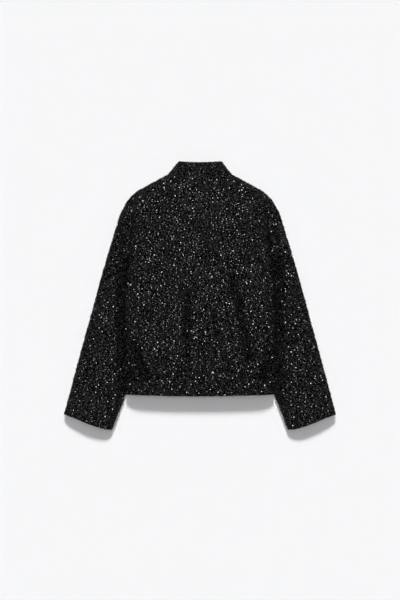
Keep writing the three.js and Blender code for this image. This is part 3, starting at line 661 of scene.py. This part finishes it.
def buildBands():
    p = backBandPiece
    shares = drawnIn(p["cellsAcross"])[None, :]
    v = np.linspace(0, 1, p["rows"] + 1)[:, None]
    y = lerp(hemLine(shares), bandTopY - seamGap / 2, v)
    x = shares * station("half", y)
    grid = np.stack([x, y, creasedBack(x, y)], -1)
    cuts = [("left", upVector), ("right", upVector), ("foot", yVector), ("head", yVector)]
    cloth, outside, normals = shell(p["name"], grid, p["cloth"], cuts)
    # Painted shade: fewer sequins, so fewer glints, deep in the folds.
    keep = lerp(1, shadedFoldShare, inFold(x, y))
    trim = scatterSequins("hemBackSequins", outside, normals, keep, sizes=p["sequins"])
    declare(cloth, trim, "hem_band_back")
    p = frontBandPiece
    for side in (1, -1):
        key = sideName(side)
        wide = station("half", hemY)
        u = towardsEdge(p["cellsAcross"])
        share = lerp(-lap / wide, 1, u)[None, :]
        y = lerp(hemLine(share), bandTopY - seamGap / 2, v)
        x = np.where(share < 0, share * wide, share * lerp(wide, station("half", y), u[None, :])) * side
        z = frontHeight(x, y)
        if side < 0:
            z = z + lapLift(x, p["cloth"])
        grid = np.stack([x, y, z], -1)
        cuts = [("left", xVector), ("right", upVector), ("foot", yVector), ("head", yVector)]
        quiet = lapped(x, side)
        cloth, outside, normals = shell(p["name"] + key, grid, p["cloth"], cuts, flip=side > 0, quiet=quiet)
        trimName = "hemFront" + key + "Sequins"
        trim = scatterSequins(trimName, outside, normals, quiet < 0.5, sizes=p["sequins"])
        declare(cloth, trim, "hem_band_front_" + key.lower())


collarPiece = {"name": "standCollar", "cellsBack": 60, "cellsFront": 40, "rows": 16, "cloth": 3.5,
               "flat": (0.430, 0.045), "area": None, "lappedCells": 8,
               "sequins": {"spacing": 2.9, "radius": (0.7, 1.2), "tilt": 30, "satin": 0.85}}
collarTop = {"half": 58, "backY": 357.6, "sideY": 361.1, "frontY": 296, "height": 33, "side": 15}
collarRound = {"back": 2.5, "front": 6}
collarSide = {"from": 0.95, "clear": 1.6}  # past this share of its half width its seam opens a little


def buildCollar():
    p = collarPiece
    frontShare = np.arange(p["cellsFront"]) / p["cellsFront"]
    frontAngles = lerp(-math.asin(lap / neckPoint[0]), math.pi / 2, frontShare)
    backAngles = np.linspace(-math.pi / 2, math.pi / 2, p["cellsBack"] + 1)
    v = np.linspace(0, 1, p["rows"] + 1)[:, None]

    def columns(part, angle):
        x, y, dx, dy = neckline(part, angle)
        share = np.sin(angle)
        clear = np.where(np.abs(share) > collarSide["from"], collarSide["clear"], 0.5) * seamGap
        z = backHeight(x, y) if part == "back" else frontHeight(x, y)
        base = np.stack([x + dx * clear, y + dy * clear, z], -1)
        if part == "back":
            topY = lerp(collarTop["backY"], collarTop["sideY"], share**2)
            rise = np.sqrt(1 - np.abs(share) ** collarRound["back"])
            topZ = lerp(collarTop["side"], collarTop["height"], rise)
        else:
            topY = lerp(collarTop["sideY"], collarTop["frontY"], np.sqrt(1 - share**2))
            topZ = collarTop["side"] * (1 - np.sqrt(1 - np.abs(share) ** collarRound["front"]))
        top = np.stack([share * collarTop["half"], topY, topZ], -1)
        across = np.stack([dx, dy, np.zeros_like(dx)], -1)
        return lerp(base[None], top[None], v[..., None]), across

    left, leftAcross = columns("front", -frontAngles)
    left[..., 2] += lapLift(left[..., 0], p["cloth"])
    middle, middleAcross = columns("back", backAngles)
    right, rightAcross = columns("front", frontAngles[::-1])
    grid = np.concatenate([left, middle, right], 1)
    across = np.concatenate([leftAcross, middleAcross, rightAcross])
    cuts = [("left", xVector), ("right", xVector), ("foot", across)]
    atLap = np.arange(grid.shape[1])[None, :] < p["lappedCells"]
    quiet = atLap + np.zeros(grid.shape[:2])
    cloth, outside, normals = shell(p["name"], grid, p["cloth"], cuts, quiet=quiet)
    trim = scatterSequins("collarSequins", outside, normals, quiet < 0.5, sizes=p["sequins"])
    declare(cloth, trim, "collar")


# Lights come from the collar's side: power, elevation and breadth in degrees, and what they fall on. The low
# one draws the shadows under the hem and cuffs, and the high ones keep the cloth's folds dark.
lights = {
    "lowLight": {"power": 3.27, "elevation": 36.5, "angle": 12, "on": "floor"},
    "softTop": {"power": 0.95, "elevation": 85, "angle": 30, "on": "everything"},
    "clothTop": {"power": 2.45, "elevation": 72, "angle": 20, "on": "garment"},
}
room = {"floorHalf": 80000, "floorZ": -0.2, "paper": "#f6f6f7", "sky": "#fafbff", "skyStrength": 0.10}
view = {"lens": 100, "sensor": 36, "place": (0, -0.01215, 4.5)}  # straight down, in metres


def buildRoom():
    # Uncoated paper, pressed smooth: bright, even and with no gloss, so that only the shadows show on it.
    paper, tree = newMaterial("matt white paper")
    finishMaterial(tree, {"Base Color": linear(room["paper"]), "Roughness": 0.95, "Specular IOR Level": 0.0})
    half, z = room["floorHalf"], room["floorZ"]
    corners = np.array([[-half, -half, z], [half, -half, z], [half, half, z], [-half, half, z]])
    floor = makeMesh("floor", corners, np.array([[0, 1, 2, 3]]), 4, [paper])
    floor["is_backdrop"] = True
    fallsOn = {"floor": [floor], "garment": garment}
    for name, setting in lights.items():
        lamp = bpy.data.lights.new(name, "SUN")
        lamp.energy = setting["power"]
        lamp.angle = math.radians(setting["angle"])
        thing = bpy.data.objects.new(name, lamp)
        thing.rotation_euler = (math.radians(setting["elevation"] - 90), 0, 0)
        bpy.context.scene.collection.objects.link(thing)
        if setting["on"] in fallsOn:
            lit = bpy.data.collections.new(name)
            for piece in fallsOn[setting["on"]]:
                lit.objects.link(piece)
            thing.light_linking.receiver_collection = lit
    world = bpy.data.worlds.new("studio")
    world.use_nodes = True
    background = world.node_tree.nodes["Background"]
    background.inputs[0].default_value = linear(room["sky"])
    background.inputs[1].default_value = room["skyStrength"]
    bpy.context.scene.world = world
    bpy.context.scene.view_settings.view_transform = "Standard"


def placeCamera():
    camera = bpy.data.cameras.new("camera")
    camera.lens = view["lens"]
    camera.sensor_width = view["sensor"]
    thing = bpy.data.objects.new("camera", camera)
    thing.location = view["place"]
    bpy.context.scene.collection.objects.link(thing)
    bpy.context.scene.camera = thing


buildBack()
for side in (1, -1):
    buildFront(side)
    buildSleeve(side)
buildBands()
buildCollar()
buildRoom()
print("made the floor and lights")
placeCamera()
print("placed the camera")

count = {o.name: sum(len(f.vertices) - 2 for f in o.data.polygons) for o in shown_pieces()}
print("triangles", sum(count.values()), count)
